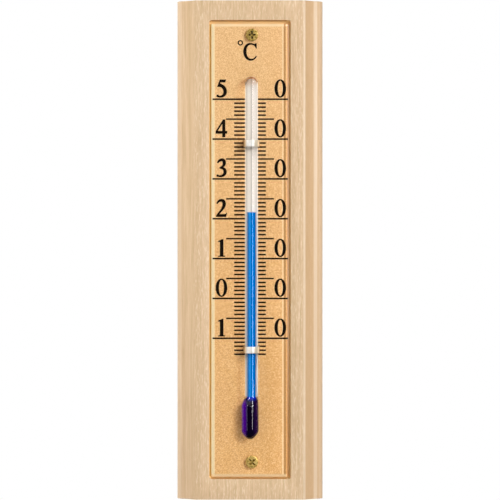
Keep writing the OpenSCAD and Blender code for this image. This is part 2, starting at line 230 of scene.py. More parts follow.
def near(value, goal):
    """True where two lengths are the same to a thousandth of a millimetre"""
    return abs(value - goal) < 0.001 * mm


def runs_along(edge, axis):
    """True for a straight edge along one axis"""
    step = edge.verts[1].co - edge.verts[0].co
    return abs(step[axis]) > 0.999 * step.length


def push(x=0.0, y=0.0, z=0.0):
    """Extrudes the selection by a step"""
    bpy.ops.mesh.extrude_region_move(TRANSFORM_OT_translate={"value": (x, y, z)})


def slide(x=0.0, y=0.0, z=0.0):
    """Moves the selection by a step"""
    bpy.ops.transform.translate(value=(x, y, z))


def widen(share, centre):
    """Scales the selection about a point"""
    bpy.ops.transform.resize(value=share, center_override=centre)


def grow(rings, along):
    """Extrudes the selected disc through rings along Z or Y, each given by its middle and its radius"""
    for (*start, start_r), (*end, end_r) in zip(rings, rings[1:]):
        push(*[b - a for a, b in zip(start, end)])
        share = end_r / start_r
        widen((share, share, 1) if along == "Z" else (share, 1, share), end)


def spin_on(angle, centre, steps):
    """Spins the selection on about an upright line, clockwise from above where the angle is above zero"""
    bpy.ops.mesh.spin(steps=steps, angle=math.radians(angle), center=(*centre, 0), axis=(0, 0, 1))


def face_outward(inside=False):
    """Turns all faces of the open piece the same way, outward or, for a hollow, inward"""
    bpy.ops.mesh.select_all(action="SELECT")
    bpy.ops.mesh.normals_make_consistent(inside=inside)


def new_round(name, rings, sides=64, along="Z", pole=True, inside=False):
    """Grows a round piece through rings, from a disc. Its end is drawn together in a pole, or left flat"""
    piece = new_disc(name, rings[0][:3], rings[0][3], sides, along)
    edit(piece)
    grow(rings, along)
    if pole:
        bpy.ops.mesh.merge(type="CENTER")
    face_outward(inside)
    close()
    return piece


def new_drill(name, rings):
    """Grows a round cutter along Y through rings"""
    return new_round(name, rings, 48, along="Y", pole=False)


def apply_new_modifier(piece, kind, **settings):
    """Adds a modifier to a piece and applies it"""
    choose(piece)
    modifier = piece.modifiers.new(kind.lower(), kind)
    for setting, value in settings.items():
        setattr(modifier, setting, value)
    bpy.ops.object.modifier_apply(modifier=modifier.name)


def cut_away(piece, cutter):
    """Takes the cutter's shape out of the piece"""
    apply_new_modifier(piece, "BOOLEAN", object=cutter, operation="DIFFERENCE", solver="EXACT")
    bpy.data.objects.remove(cutter)


def soften(piece, width, segments=2, angle=40):
    """Rounds all edges that are sharper than an angle"""
    apply_new_modifier(
        piece, "BEVEL", width=width, segments=segments, limit_method="ANGLE", angle_limit=math.radians(angle)
    )


def smooth(piece, angle):
    """Shades the piece smooth, apart from its sharp edges"""
    choose(piece)
    bpy.ops.object.shade_smooth_by_angle(angle=math.radians(angle))


def copy_of(piece, name):
    """Duplicates a piece with its own mesh"""
    choose(piece)
    bpy.ops.object.duplicate(linked=False)
    twin = bpy.context.object
    twin.name = twin.data.name = name
    return twin


def paint(piece, material):
    """Gives a piece one finish all over"""
    if piece.material_slots:
        for material_slot in piece.material_slots:
            material_slot.material = material
    else:
        piece.data.materials.append(material)


def settle(piece, material, node, body="thermometer"):
    """Finishes a piece: its material, the CAD node that it stands for and the body that it rides on"""
    paint(piece, material)
    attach(piece, body)
    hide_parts(node)


# Materials

def linear(red, green, blue):
    """Colour for a shader from the 0 to 255 values that a picture shows"""
    values = [c / 255 for c in (red, green, blue)]
    return [c / 12.92 if c <= 0.04045 else ((c + 0.055) / 1.055) ** 2.4 for c in values] + [1.0]


class Nodes:
    """Short ways to add nodes to a material or to the world"""

    def __init__(self, tree):
        self.tree = tree

    def add(self, kind, **settings):
        """Adds a node and sets its settings"""
        node = self.tree.nodes.new(kind)
        for setting, value in settings.items():
            setattr(node, setting, value)
        return node

    def feed(self, socket, value):
        """Links a socket to another node's output, or sets its value"""
        if isinstance(value, bpy.types.NodeSocket):
            self.tree.links.new(value, socket)
        else:
            socket.default_value = value

    def split(self, vector):
        """The X, Y and Z of a vector"""
        node = self.add("ShaderNodeSeparateXYZ")
        self.feed(node.inputs[0], vector)
        return node.outputs

    def range(self, value, low, high, new_low=0.0, new_high=1.0):
        """Stretches the values from low to high over a new range, and holds them there"""
        node = self.add("ShaderNodeMapRange", interpolation_type="SMOOTHSTEP")
        self.feed(node.inputs["Value"], value)
        limits = {"From Min": low, "From Max": high, "To Min": new_low, "To Max": new_high}
        for name, limit in limits.items():
            node.inputs[name].default_value = limit
        return node.outputs["Result"]

    def math(self, operation, first, second=0.5):
        """Works out one value from one or two others"""
        node = self.add("ShaderNodeMath", operation=operation)
        self.feed(node.inputs[0], first)
        self.feed(node.inputs[1], second)
        return node.outputs[0]

    def both(self, first, *others):
        """The share where all of several masks hold"""
        for other in others:
            first = self.math("MULTIPLY", first, other)
        return first

    def away(self, value, goal):
        """How far a value is from a goal"""
        return self.math("ABSOLUTE", self.math("SUBTRACT", value, goal))

    def rest(self, share):
        """What is left of one"""
        return self.math("SUBTRACT", 1.0, share)


class Finish(Nodes):
    """A new material, its main shader and the place that its patterns read"""

    def __init__(self, name):
        self.material = bpy.data.materials.new(name)
        self.material.use_nodes = True
        super().__init__(self.material.node_tree)
        self.shader = self.tree.nodes["Principled BSDF"]
        self.output = self.tree.nodes["Material Output"]
        self.place = self.add("ShaderNodeTexCoord").outputs["Object"]
        self.x, self.y, self.z = self.split(self.place)

    def noise(self, scale, detail=3.0, roughness=0.5):
        """Noise with its own scale along X, Y and Z, in cells per metre"""
        mapping = self.add("ShaderNodeMapping")
        self.feed(mapping.inputs["Vector"], self.place)
        mapping.inputs["Scale"].default_value = scale
        noise = self.add("ShaderNodeTexNoise")
        self.feed(noise.inputs["Vector"], mapping.outputs["Vector"])
        noise.inputs["Scale"].default_value = 1.0
        noise.inputs["Detail"].default_value = detail
        noise.inputs["Roughness"].default_value = roughness
        return noise.outputs["Fac"]

    def mix(self, share, first, second):
        """Mixes two colours"""
        node = self.add("ShaderNodeMix", data_type="RGBA")
        self.feed(node.inputs["Factor"], share)
        for socket, value in zip([s for s in node.inputs if s.type == "RGBA"], (first, second)):
            self.feed(socket, value)
        return [s for s in node.outputs if s.type == "RGBA"][0]

    def bump(self, height, distance):
        """Raises the surface by a height pattern"""
        node = self.add("ShaderNodeBump")
        node.inputs["Strength"].default_value = 1.0
        node.inputs["Distance"].default_value = distance
        self.feed(node.inputs["Height"], height)
        self.feed(self.shader.inputs["Normal"], node.outputs["Normal"])

    def pass_lamps(self, tint):
        """Lets the lamps' light through, tinted, while the surface looks the same to the camera"""
        clear = self.add("ShaderNodeBsdfTransparent")
        self.feed(clear.inputs["Color"], tint)
        either = self.add("ShaderNodeMixShader")
        self.feed(either.inputs[0], self.add("ShaderNodeLightPath").outputs["Is Shadow Ray"])
        self.feed(either.inputs[1], self.shader.outputs[0])
        self.feed(either.inputs[2], clear.outputs[0])
        self.feed(self.output.inputs["Surface"], either.outputs[0])

    def set(self, **values):
        """Sets or links the main shader's inputs, with _ for a space"""
        for name, value in values.items():
            self.feed(self.shader.inputs[name.replace("_", " ").title().replace("Ior", "IOR")], value)


def wood_finish():
    """Pale straight-grained wood, waxed: long fine streaks, small pores, darker end grain"""
    wood = Finish("pale_wood")
    broad = wood.noise((90, 90, 5), 2)
    streak = wood.noise((620, 620, 9), 4, 0.6)
    fibre = wood.noise((1900, 1900, 60), 4, 0.65)
    pores = wood.noise((3800, 3800, 420), 2, 0.4)
    colour = wood.mix(wood.range(streak, 0.3, 0.7), linear(206, 176, 137), linear(216, 187, 151))
    colour = wood.mix(wood.range(broad, 0.35, 0.65, 0, 0.35), colour, linear(218, 184, 150))
    colour = wood.mix(wood.range(fibre, 0.3, 0.5, 0.6, 0), colour, linear(190, 160, 118))
    colour = wood.mix(wood.range(fibre, 0.5, 0.7, 0, 0.6), colour, linear(230, 204, 170))
    colour = wood.mix(wood.range(pores, 0.66, 0.8, 0, 0.2), colour, linear(166, 132, 90))
    colour = fleck(wood, colour)
    facing = wood.split(wood.add("ShaderNodeTexCoord").outputs["Normal"])
    end = wood.range(wood.math("ABSOLUTE", facing["Z"]), 0.7, 0.95, 0, 0.6)
    colour = wood.mix(end, colour, linear(186, 148, 106))
    colour = paint_recess_shade_and_light(wood, colour)
    colour = paint_moulding_shade_and_highlights(wood, colour, wood.range(facing["Y"], -0.1, -0.4))
    wood.set(base_color=colour, roughness=wood.range(fibre, 0.3, 0.7, 0.36, 0.46), specular_ior_level=0.4)
    wood.bump(wood.math("ADD", wood.math("MULTIPLY", streak, 0.5), fibre), 0.03 * mm)
    return wood.material


def fleck(wood, colour):
    """Short dark and light flecks in the grain, weak on the left-hand moulding"""
    flecks = wood.noise((3400, 3400, 500), 2, 0.6)
    amount = wood.range(wood.x, -18 * mm, -16.5 * mm, 0.1, 0.5)
    colour = wood.mix(wood.both(amount, wood.range(flecks, 0.3, 0.46, 1, 0)), colour, linear(194, 164, 124))
    return wood.mix(wood.both(amount, wood.range(flecks, 0.54, 0.68)), colour, linear(238, 218, 190))


def paint_recess_shade_and_light(wood, colour):
    """Painted shade on the recess's walls and in the gap round the plate, lifted by painted light at the
    right, top and foot, and different on all four sides
    """
    middle_z = (recess_low[2] + recess_high[2]) / 2
    inner = wood.both(
        wood.range(wood.y, -10.95 * mm, -10.3 * mm),
        wood.range(wood.y, -9 * mm, -9.2 * mm),
        wood.range(wood.away(wood.z, middle_z), 71 * mm, 70.8 * mm),
        wood.range(wood.math("ABSOLUTE", wood.x), 12.7 * mm, 12.6 * mm),
    )
    right = wood.range(wood.x, 11 * mm, 11.8 * mm)
    left = wood.range(wood.x, -11.8 * mm, -12 * mm)
    top = wood.both(wood.range(wood.z, 12.7 * mm, 12.8 * mm), wood.range(wood.z, 13.75 * mm, 13.55 * mm))
    foot = wood.both(
        wood.range(wood.z, -127.45 * mm, -127.25 * mm), wood.range(wood.z, -126.8 * mm, -126.95 * mm)
    )
    # Painted shade: the walls and gap are darker and warmer than the wood, and painted light lifts the walls'
    # cast shadow at the right, top and foot
    painted_gap_shade_and_light = wood.mix(right, linear(196, 144, 76), linear(255, 226, 164))
    painted_gap_shade_and_light = wood.mix(left, painted_gap_shade_and_light, linear(218, 180, 106))
    painted_gap_shade_and_light = wood.mix(top, painted_gap_shade_and_light, linear(250, 208, 142))
    painted_gap_shade_and_light = wood.mix(foot, painted_gap_shade_and_light, linear(255, 222, 160))
    return wood.mix(inner, colour, painted_gap_shade_and_light)


def paint_moulding_shade_and_highlights(wood, colour, front):
    """Painted shade on the slope of the right-hand moulding, painted highlights along its two crests, and
    paler outer edges
    """
    # Painted shade: only the right-hand slope is darkened
    painted_slope_shade = wood.both(front, wood.range(wood.x, 16.9 * mm, 17.2 * mm, 0, 0.75))
    colour = wood.mix(painted_slope_shade, colour, linear(201, 165, 124))
    # Painted highlights along the two crests of the right-hand moulding
    for crest, half_w in ((16.8 * mm, 0.5 * mm), (20.25 * mm, 0.8 * mm)):
        painted_crest_highlight = wood.both(front, wood.range(wood.away(wood.x, crest), half_w, half_w * 0.4, 0, 0.55))
        colour = wood.mix(painted_crest_highlight, colour, linear(230, 210, 184))
    edge = wood.range(wood.math("ABSOLUTE", wood.x), 20.9 * mm, 21.5 * mm, 0, 0.25)
    return wood.mix(wood.both(front, edge), colour, linear(238, 218, 194))


def plate_finish():
    """Gold lacquer over brushed aluminium, with a fine speckle and grain. Painted light makes it paler
    towards the top, and painted shade makes it darker to the right and at the lower right
    """
    plate = Finish("gold_lacquer")
    speckle = plate.noise((3800, 3800, 3800), 3, 0.8)
    cloud = plate.noise((160, 160, 160), 2)
    grain = plate.noise((3900, 3900, 3900), 1)
    colour = plate.mix(plate.range(speckle, 0.38, 0.62), linear(220, 158, 86), linear(252, 203, 132))
    colour = plate.mix(plate.range(cloud, 0.35, 0.65, 0, 0.3), colour, linear(236, 184, 126))
    # Painted light: paler towards the top
    colour = plate.mix(plate.range(plate.z, -70 * mm, 5 * mm, 0, 0.6), colour, linear(238, 196, 142))
    # Painted shade: darker towards the right, and more so at the lower right
    colour = plate.mix(plate.range(plate.x, 3 * mm, 9 * mm, 0, 0.3), colour, linear(226, 168, 102))
    corner = plate.range(plate.z, -75 * mm, -95 * mm, 0, 0.6)
    corner = plate.both(corner, plate.range(plate.x, 2 * mm, 6 * mm))
    colour = plate.mix(corner, colour, linear(222, 164, 88))
    colour = plate.mix(plate.range(grain, 0.3, 0.5, 0.7, 0), colour, linear(212, 154, 94))
    colour = plate.mix(plate.range(grain, 0.5, 0.7, 0, 0.75), colour, linear(255, 216, 160))
    colour = paint_rolled_edge_highlights_and_shade(plate, colour, plate.range(grain, 0.35, 0.6, 0.85, 1))
    plate.set(
        base_color=colour,
        metallic=0.2,
        roughness=plate.range(speckle, 0.3, 0.7, 0.34, 0.5),
        specular_ior_level=0.5,
        coat_weight=1.0,
        coat_roughness=0.15,
    )
    plate.bump(speckle, 0.012 * mm)
    return plate.material


def paint_rolled_edge_highlights_and_shade(plate, colour, spots):
    """Painted highlights on the rolled edges at the top, left and foot and on a crest at the right, and
    painted shade in a groove and on the right-hand side
    """
    # Painted highlights on the rolled edges, broken up by the grain
    top = plate.both(plate.range(plate.z, 11.7 * mm, 12.3 * mm), plate.range(plate.x, 10.9 * mm, 10.4 * mm))
    colour = plate.mix(top, colour, linear(250, 220, 172))
    outermost = plate.range(plate.x, -11.2 * mm, -11.5 * mm)
    bright = plate.mix(outermost, linear(255, 232, 184), linear(255, 246, 208))
    left = plate.range(plate.x, -10.7 * mm, -11.05 * mm)
    colour = plate.mix(plate.both(left, spots), colour, bright)
    crest = plate.range(plate.away(plate.x, 10.15 * mm), 0.3 * mm, 0.1 * mm, 0, 0.6)
    colour = plate.mix(crest, colour, linear(255, 228, 180))
    # Painted shade in the groove
    groove = plate.range(plate.away(plate.x, 10.75 * mm), 0.4 * mm, 0.2 * mm, 0, 0.8)
    colour = plate.mix(groove, colour, linear(186, 132, 72))
    # Painted highlight on the foot
    foot = plate.range(plate.z, -125.9 * mm, -126.6 * mm)
    foot = plate.both(foot, plate.range(plate.x, 11.6 * mm, 11.2 * mm), spots)
    colour = plate.mix(foot, colour, linear(255, 228, 180))
    # Painted shade on the right-hand side
    right = plate.range(plate.x, 11.4 * mm, 11.5 * mm)
    return plate.mix(right, colour, linear(200, 146, 86))


def ink_finish():
    """Near-black printing ink, a little uneven"""
    ink = Finish("black_ink")
    cover = ink.noise((1800, 1800, 1800), 3, 0.6)
    colour = ink.mix(ink.range(cover, 0.3, 0.75), linear(12, 5, 0), linear(28, 15, 6))
    ink.set(base_color=colour, roughness=ink.range(cover, 0.3, 0.7, 0.55, 0.7), specular_ior_level=0.08)
    ink.bump(cover, 0.004 * mm)
    return ink.material


def glass_finish():
    """Clear drawn glass that lets lamps through, with faint drawing lines"""
    glass = Finish("clear_glass")
    lines = glass.noise((900, 900, 12), 2)
    # Painted shade: the glass at the top of the crown is tinted brownish grey
    crown = glass.range(glass.z, -4.3 * mm, -3.9 * mm)
    glass.set(
        base_color=glass.mix(crown, linear(250, 252, 252), linear(204, 190, 178)),
        roughness=glass.range(lines, 0.3, 0.7, 0.0, 0.02),
        ior=1.5,
        transmission_weight=1.0,
    )
    glass.bump(lines, 0.004 * mm)
    rim = glass.add("ShaderNodeLayerWeight")
    rim.inputs["Blend"].default_value = 0.3
    tint = glass.mix(rim.outputs["Facing"], linear(252, 252, 250), linear(186, 134, 90))
    solid = glass.range(glass.z, -5.7 * mm, -4.9 * mm)
    glass.pass_lamps(glass.mix(solid, tint, linear(176, 128, 78)))
    return glass.material


def bore_finish():
    """The bore's wall, wetted by what is in it, so that light goes straight on"""
    bore = Finish("bore_wall")
    clear = bore.add("ShaderNodeBsdfTransparent")
    bore.feed(bore.output.inputs["Surface"], clear.outputs[0])
    bore.tree.nodes.remove(bore.shader)
    return bore.material


def enamel_finish():
    """White enamel fused into the glass, with painted shade at its left, painted light at its far left and
    its right, and a painted dark reflection line near its middle
    """
    enamel = Finish("white_enamel")
    cloud = enamel.noise((700, 700, 60), 3)
    colour = enamel.mix(enamel.range(cloud, 0.3, 0.7), linear(209, 201, 192), linear(217, 210, 201))
    # Painted shade to the left, and painted light at the far left and to the right
    left = enamel.range(enamel.x, stem_x - 0.25 * mm, stem_x - 0.9 * mm)
    colour = enamel.mix(left, colour, linear(182, 170, 156))
    outer = enamel.range(enamel.x, stem_x - 0.86 * mm, stem_x - 0.95 * mm)
    colour = enamel.mix(outer, colour, linear(242, 228, 208))
    right = enamel.range(enamel.x, stem_x - 0.05 * mm, stem_x + 0.3 * mm)
    colour = enamel.mix(right, colour, linear(248, 241, 234))
    # Painted reflection: a thin dark line near the middle
    painted_dark_reflection = enamel.range(enamel.away(enamel.x, stem_x - 0.02 * mm), 0.1 * mm, 0.04 * mm, 0, 0.4)
    colour = enamel.mix(painted_dark_reflection, colour, linear(150, 140, 134))
    enamel.set(base_color=colour, roughness=enamel.range(cloud, 0.3, 0.7, 0.4, 0.55), specular_ior_level=0.1)
    enamel.bump(cloud, 0.004 * mm)
    return enamel.material


def column_finish():
    """Azure liquid, with painted shade towards both sides and a painted dark reflection line near its middle
    """
    column = Finish("azure_liquid")
    cloud = column.noise((500, 500, 30), 2)
    colour = column.mix(column.range(cloud, 0.3, 0.7), linear(6, 136, 224), linear(14, 146, 232))
    # Painted shade towards both sides
    left = column.range(column.x, stem_x - 0.4 * mm, stem_x - 0.8 * mm, 0, 0.8)
    colour = column.mix(left, colour, linear(0, 98, 160))
    right = column.range(column.x, stem_x + 0.2 * mm, stem_x + 0.7 * mm, 0, 0.8)
    colour = column.mix(right, colour, linear(0, 80, 162))
    # Painted reflection: a thin dark line near the middle
    painted_dark_reflection = column.range(column.away(column.x, stem_x - 0.03 * mm), 0.18 * mm, 0.08 * mm, 0, 0.85)
    colour = column.mix(painted_dark_reflection, colour, linear(0, 76, 148))
    column.set(base_color=colour, roughness=column.range(cloud, 0.3, 0.7, 0.4, 0.5), specular_ior_level=0)
    column.bump(cloud, 0.002 * mm)
    column.pass_lamps(linear(252, 254, 255))
    return column.material


def bulb_finish():
    """The same dye seen deep, almost black, and blue under the neck, with painted light coming through it:
    violet at the left, dim plum at the right
    """
    bulb = Finish("deep_indigo_liquid")
    cloud = bulb.noise((500, 500, 200), 3)
    # Painted light coming through the dye: violet at the left, dim plum at the right
    left = bulb.range(bulb.x, -0.6 * mm, -1.7 * mm)
    right = bulb.range(bulb.x, 0.7 * mm, 2 * mm)
    neck = bulb.range(bulb.z, -103.9 * mm, -102.3 * mm)
    neck = bulb.both(neck, bulb.range(bulb.away(bulb.x, stem_x), 1.3 * mm, 0.7 * mm))
    colour = bulb.mix(bulb.range(cloud, 0.3, 0.7), linear(6, 0, 20), linear(12, 2, 32))
    colour = bulb.mix(left, colour, linear(78, 2, 150))
    colour = bulb.mix(right, colour, linear(36, 8, 58))
    colour = bulb.mix(neck, colour, linear(0, 44, 184))
    bulb.set(base_color=colour, roughness=bulb.range(cloud, 0.3, 0.7, 0.4, 0.5), specular_ior_level=0)
    bulb.bump(cloud, 0.002 * mm)
    return bulb.material


def strap_finish():
    """Bright tinned strip steel with fine rolling lines, and painted reflections and shade across the bend"""
    strap = Finish("bright_strap")
    lines = strap.noise((200, 200, 5200), 2)
    wear = strap.noise((1500, 1500, 1500), 3)
    across = strap.math("SUBTRACT", strap.x, stem_x)
    colour = strap.mix(strap.range(wear, 0.35, 0.7), linear(248, 246, 242), linear(230, 226, 218))
    # Painted reflections and shade across the bend: beige then brown shade at the left, grey and cream at the
    # right
    colour = strap.mix(strap.range(across, -1.35 * mm, -1.8 * mm, 0, 0.9), colour, linear(236, 212, 176))
    colour = strap.mix(strap.range(across, -1.8 * mm, -2.15 * mm, 0, 0.9), colour, linear(200, 158, 104))
    colour = strap.mix(strap.range(across, 0.75 * mm, 1.1 * mm, 0, 0.9), colour, linear(192, 178, 152))
    colour = strap.mix(strap.range(across, 1.7 * mm, 2.1 * mm, 0, 0.9), colour, linear(250, 228, 192))
    # Painted reflection: a thin dark line near the middle
    painted_dark_reflection = strap.range(strap.away(across, -0.05 * mm), 0.2 * mm, 0.1 * mm, 0, 0.5)
    colour = strap.mix(painted_dark_reflection, colour, linear(164, 164, 164))
    strap.set(base_color=colour, metallic=0.2, roughness=strap.range(wear, 0.3, 0.7, 0.42, 0.55))
    strap.bump(lines, 0.003 * mm)
    return strap.material


def screw_finish():
    """Olive brass plating with random wear, painted shade in the cross recess and a painted highlight on the
    recess floor in its middle. The lower screw is coloured lighter than the upper one
    """
    screw = Finish("olive_brass")
    wear = screw.noise((1700, 1700, 1700), 4, 0.65)
    across = screw.math("SUBTRACT", screw.x, screw_x)
    upward = screw.away(screw.z, (upper_screw_z + lower_screw_z) / 2)
    upward = screw.math("SUBTRACT", upward, (upper_screw_z - lower_screw_z) / 2)
    # Square of the distance from the axis of either screw, in square metres
    square = screw.math("ADD", screw.both(across, across), screw.both(upward, upward))
    # Painted shade inside the cross recess, lighter on the lower screw
    deep = screw.both(
        screw.range(square, 1.9e-6, 1.7e-6), screw.range(screw.y, -11.15 * mm, -10.95 * mm)
    )
    # Painted highlight on the floor of the recess, in its middle
    middle = screw.both(deep, screw.range(square, 0.24e-6, 0.08e-6, 0, 0.7))
    # The lower screw gets lighter colours than the upper one
    lower = screw.range(screw.z, -40 * mm, -60 * mm)
    dull = screw.mix(lower, linear(178, 146, 64), linear(206, 168, 78))
    bright = screw.mix(lower, linear(212, 182, 106), linear(240, 208, 126))
    painted_cross_shade = screw.mix(lower, linear(64, 40, 0), linear(140, 110, 32))
    colour = screw.mix(screw.range(wear, 0.35, 0.65), dull, bright)
    colour = screw.mix(deep, colour, painted_cross_shade)
    colour = screw.mix(middle, colour, linear(214, 186, 100))
    screw.set(base_color=colour, metallic=0.55, roughness=screw.range(wear, 0.3, 0.7, 0.22, 0.36))
    screw.bump(wear, 0.012 * mm)
    return screw.material


# Wooden backboard

def make_backboard():
    """Board with an ogee moulding along both long edges, cut square at its ends"""
    board = new_block("backboard_wood", board_low, board_high)
    moulding = [moulding_side]
    moulding += arc_points(moulding_side, fold, lower_bow, 12)
    moulding += arc_points(fold, knee, upper_bow, 10)
    edit(board)
    for x, _ in moulding[1:]:
        for place in (x, -x):
            bpy.ops.mesh.select_all(action="SELECT")
            bpy.ops.mesh.bisect(plane_co=(place, 0, 0), plane_no=(1, 0, 0))
    for x, y in moulding:
        pick("VERT", lambda v: near(abs(v.co.x), x) and near(v.co.y, board_face))
        slide(y=y - board_face)
    close()
    soften(board, board_ease)
    cut_recess(board)
    cut_hidden_holes(board)
    smooth(board, 30)
    return board


def cut_recess(board):
    """Routs the shallow recess with its rounded corners and eases its rim"""
    cutter = new_block("recess_cutter", recess_low, recess_high)
    edit(cutter)
    pick("EDGE", lambda e: runs_along(e, 1))
    bpy.ops.mesh.bevel(offset=recess_corner_r, segments=6, affect="EDGES")
    close()
    cut_away(board, cutter)
    edit(board)
    pick("EDGE", lambda e: all(is_on_recess_rim(v.co) for v in e.verts))
    bpy.ops.mesh.bevel(offset=recess_ease, segments=2, affect="EDGES")
    close()


def is_on_recess_rim(place):
    """True for a point of the board's face where the recess starts"""
    slack = 0.01 * mm
    beside = abs(place.x) < recess_high[0] + slack
    between = recess_low[2] - slack < place.z < recess_high[2] + slack
    return near(place.y, board_face) and beside and between


def cut_hidden_holes(board):
    """Sinks the reliefs behind the clips, both screw holes and the hanging hole"""
    outside = 0.5 * mm
    for z in clip_heights.values():
        low = (stem_x - relief_half_w, plate_back - outside, z - relief_half_h)
        high = (stem_x + relief_half_w, relief_floor, z + relief_half_h)
        cut_away(board, new_block("relief_cutter", low, high))
    for z in (upper_screw_z, lower_screw_z):
        rings = [(screw_x, y, z, pilot_r) for y in (plate_back - 0.7 * mm, pilot_end)]
        cut_away(board, new_drill("screw_cutter", rings))
    mouth = [(0, 0.2 * mm, 0, hanging_r + 0.5 * mm), (0, -0.3 * mm, 0, hanging_r)]
    cut_away(board, new_drill("hanging_cutter", mouth + [(0, -hanging_depth, 0, hanging_r)]))


# Scale plate

def make_scale_plate():
    """Pressed plate: a flat face inside rolled edges, two screw holes and four slots"""
    low = (-plate_half_w, plate_rim, plate_bottom)
    high = (plate_half_w, plate_back, plate_top)
    plate = new_block("scale_plate_metal", low, high)
    edit(plate)
    pick("EDGE", lambda e: runs_along(e, 1))
    bpy.ops.mesh.bevel(offset=plate_corner_r, segments=5, affect="EDGES")
    pick("FACE", lambda f: f.normal.y < -0.9)
    roll_edges()
    face_outward()
    shape_right_edge()
    close()
    for z in (upper_screw_z, lower_screw_z):
        rings = [(screw_x, y, z, screw_hole_r) for y in (punch_back, punch_front)]
        cut_away(plate, new_drill("hole_cutter", rings))
    for z in clip_heights.values():
        for side in (-1, 1):
            x = stem_x + side * (strap_in + strap_out) / 2
            low = (x - slot_half_w, punch_front, z - slot_half_h)
            high = (x + slot_half_w, punch_back, z + slot_half_h)
            cut_away(plate, new_block("slot_cutter", low, high))
    smooth(plate, 30)
    return plate


def roll_edges():
    """Draws the selected face forward and in, step by step, so that its edges come out rolled"""
    middle_z = (plate_top + plate_bottom) / 2
    half_h = (plate_top - plate_bottom) / 2
    last = (plate_half_w, plate_rim)
    for x, y in arc_points(last, (plate_half_w - roll_w, plate_front), roll_bulge, 10):
        push(y=y - last[1])
        across, upward = [
            (half - plate_half_w + x) / (half - plate_half_w + last[0]) for half in (plate_half_w, half_h)
        ]
        widen((across, 1, upward), (0, y, middle_z))
        last = (x, y)


def shape_right_edge():
    """Steepens the right-hand rolled edge, draws out its foot and sinks a fine groove beside it"""
    inner_x = 10 * mm
    mesh = bmesh.from_edit_mesh(bpy.context.object.data)
    rolled = [v for v in mesh.verts if v.co.x > inner_x and v.co.y < plate_rim - 0.001 * mm]
    for depth in sorted({round(v.co.y, 7) for v in rolled}):
        share = (plate_rim - depth) / (plate_rim - plate_front)
        pick("VERT", lambda v: near(v.co.y, depth) and v.co.x > inner_x)
        mesh = bmesh.from_edit_mesh(bpy.context.object.data)
        reach = max(v.co.x for v in mesh.verts if v.select)
        slide(x=right_foot - right_lean * share - reach)
    for x in (groove_start, groove_x, groove_end):
        bpy.ops.mesh.select_all(action="SELECT")
        bpy.ops.mesh.bisect(plane_co=(x, 0, 0), plane_no=(1, 0, 0))
    pick("VERT", lambda v: near(v.co.x, groove_x) and near(v.co.y, plate_front))
    slide(y=groove_depth)


# Glass tube, enamel and liquid

def vessel_rings(tip, side_r, top_r, shoulder_top, growth=0.0):
    """Rings of the bulb, or of what it holds, from the tip to where it joins the stem's line"""
    side_r += growth
    top_r += growth
    tip -= growth
    blunt_r, curve_r = side_r * 0.16, side_r * 0.3
    curve_z, side_z = tip + 0.1 * mm, tip + 2.4 * mm
    rings = [(bulb_x, bulb_y, tip, blunt_r), (bulb_x, bulb_y, curve_z, curve_r)]
    for radius, z in arc_points((curve_r, curve_z), (side_r, side_z), -side_r * 0.09, 9):
        rings.append((bulb_x, bulb_y, z, radius))
    rings += [(bulb_x, bulb_y, z, side_r) for z in (side_z + 0.2 * mm, shoulder_z - 0.2 * mm)]
    steps = 10
    for i in range(steps + 1):
        way = i / steps
        share = 0.75 * way + 0.25 * way * way * (3 - 2 * way)
        rings.append((
            bulb_x + (stem_x - bulb_x) * share,
            bulb_y + (stem_y - bulb_y) * share,
            shoulder_z + (shoulder_top - shoulder_z) * way,
            side_r + (top_r - side_r) * share,
        ))
    return rings


def make_glass_tube(glass, bore_wall):
    """Blown tube: stem with a round crown, the bulb a little to the left, and the hollow inside"""
    tube = new_round("glass_tube_blown", outer_rings(), 96)
    paint(tube, glass)
    hollow = new_round("hollow", hollow_rings(), inside=True)
    paint(hollow, bore_wall)
    choose(tube)
    hollow.select_set(True)
    bpy.ops.object.join()
    smooth(tube, 60)
    return tube


def outer_rings():
    """Rings of the tube's outside, from the bulb's tip to the middle of the crown"""
    crown_h, crown_bulge = stem_r * 0.8, stem_r * 0.26
    crown_z = tube_top - crown_h
    crown = [(stem_r, neck_z + 0.2 * mm), (stem_r, crown_z - 0.1 * mm), (stem_r, crown_z)]
    crown += arc_points(crown[-1], (pole_r, tube_top), -crown_bulge, 14)
    rings = vessel_rings(tube_tip, bulb_r, stem_r, neck_z)
    return rings + [(stem_x, stem_y, z, radius) for radius, z in crown]


def hollow_rings():
    """Rings of the cavity in the bulb and of the bore over it, to the bore's rounded end"""
    end_h, end_bulge = 0.6 * mm, 0.18 * mm
    bore_end = bore_top - end_h
    heights = (cavity_top + 0.3 * mm, cavity_top + 0.5 * mm, bore_end - 0.2 * mm, bore_end)
    bore = [(bore_r, z) for z in heights]
    bore += arc_points((bore_r, bore_end), (pole_r, bore_top), -end_bulge, 6)
    rings = vessel_rings(tube_tip + glass_wall, cavity_r, cavity_top_r, cavity_top)
    return rings + [(stem_x, stem_y, z, radius) for radius, z in bore]


